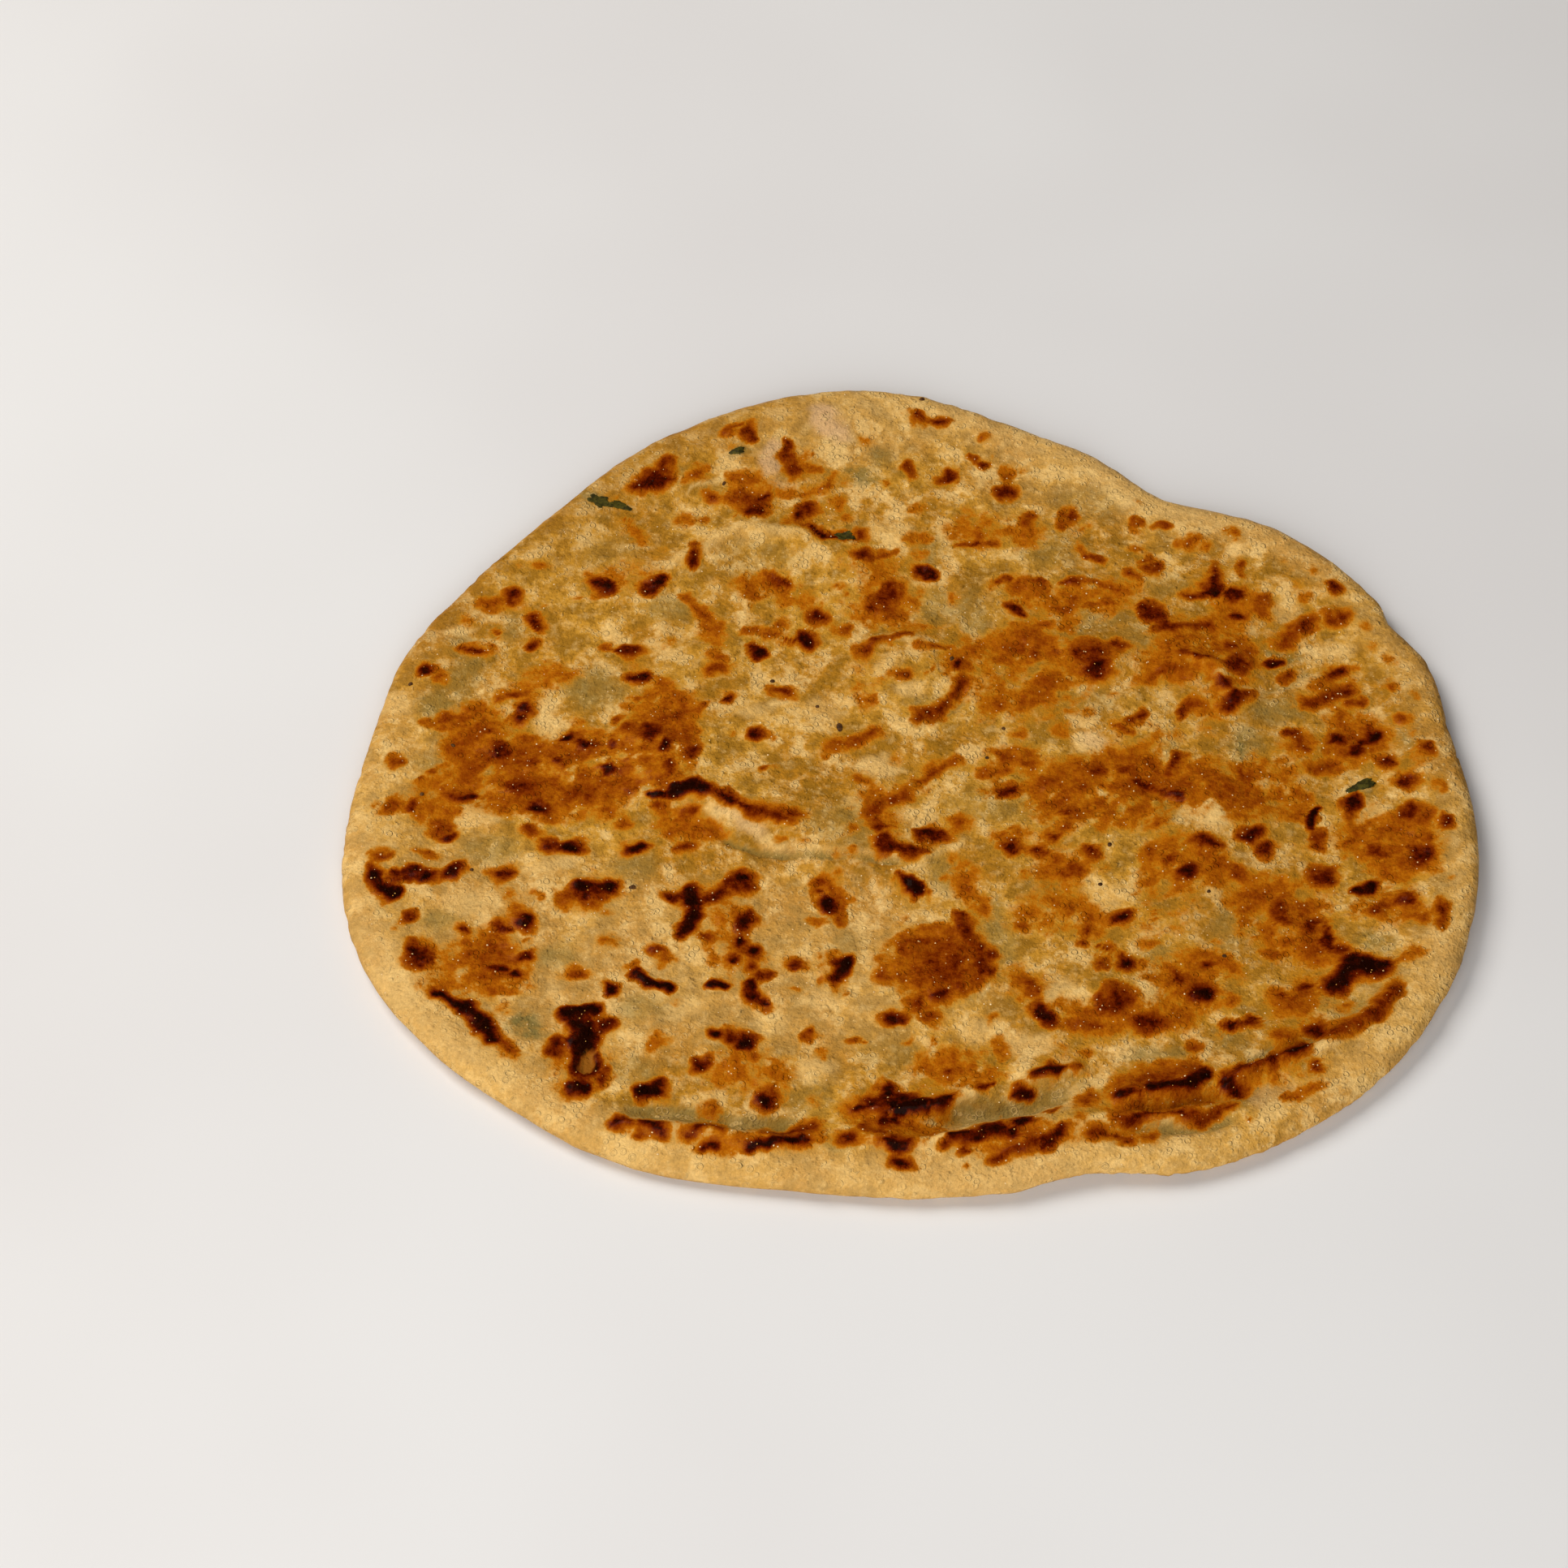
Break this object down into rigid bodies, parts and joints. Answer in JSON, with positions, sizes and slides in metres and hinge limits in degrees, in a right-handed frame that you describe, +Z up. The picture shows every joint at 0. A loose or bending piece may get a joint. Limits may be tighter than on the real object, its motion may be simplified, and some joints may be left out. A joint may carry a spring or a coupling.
{
  "type": "paratha flatbread",
  "caption": "Flat, uneven oval disc of stuffed griddle-fried flatbread with a rounded rim, shallow pleats and browned spots.",
  "frame": {"origin": "middle of the bounding box's base, on the flat underside that the bread rests on", "axes": "+Z up, through the browned upper face; +X along the oval's long way; +Y towards the bread's back edge"},
  "size_m": [0.2146, 0.1952, 0.0065],
  "materials": {
    "browned_dough": "golden dough with scorched spots and a light sheen of ghee"
  },
  "bodies": {
    "root": {"paratha": "browned_dough"}
  },
  "joints": []
}
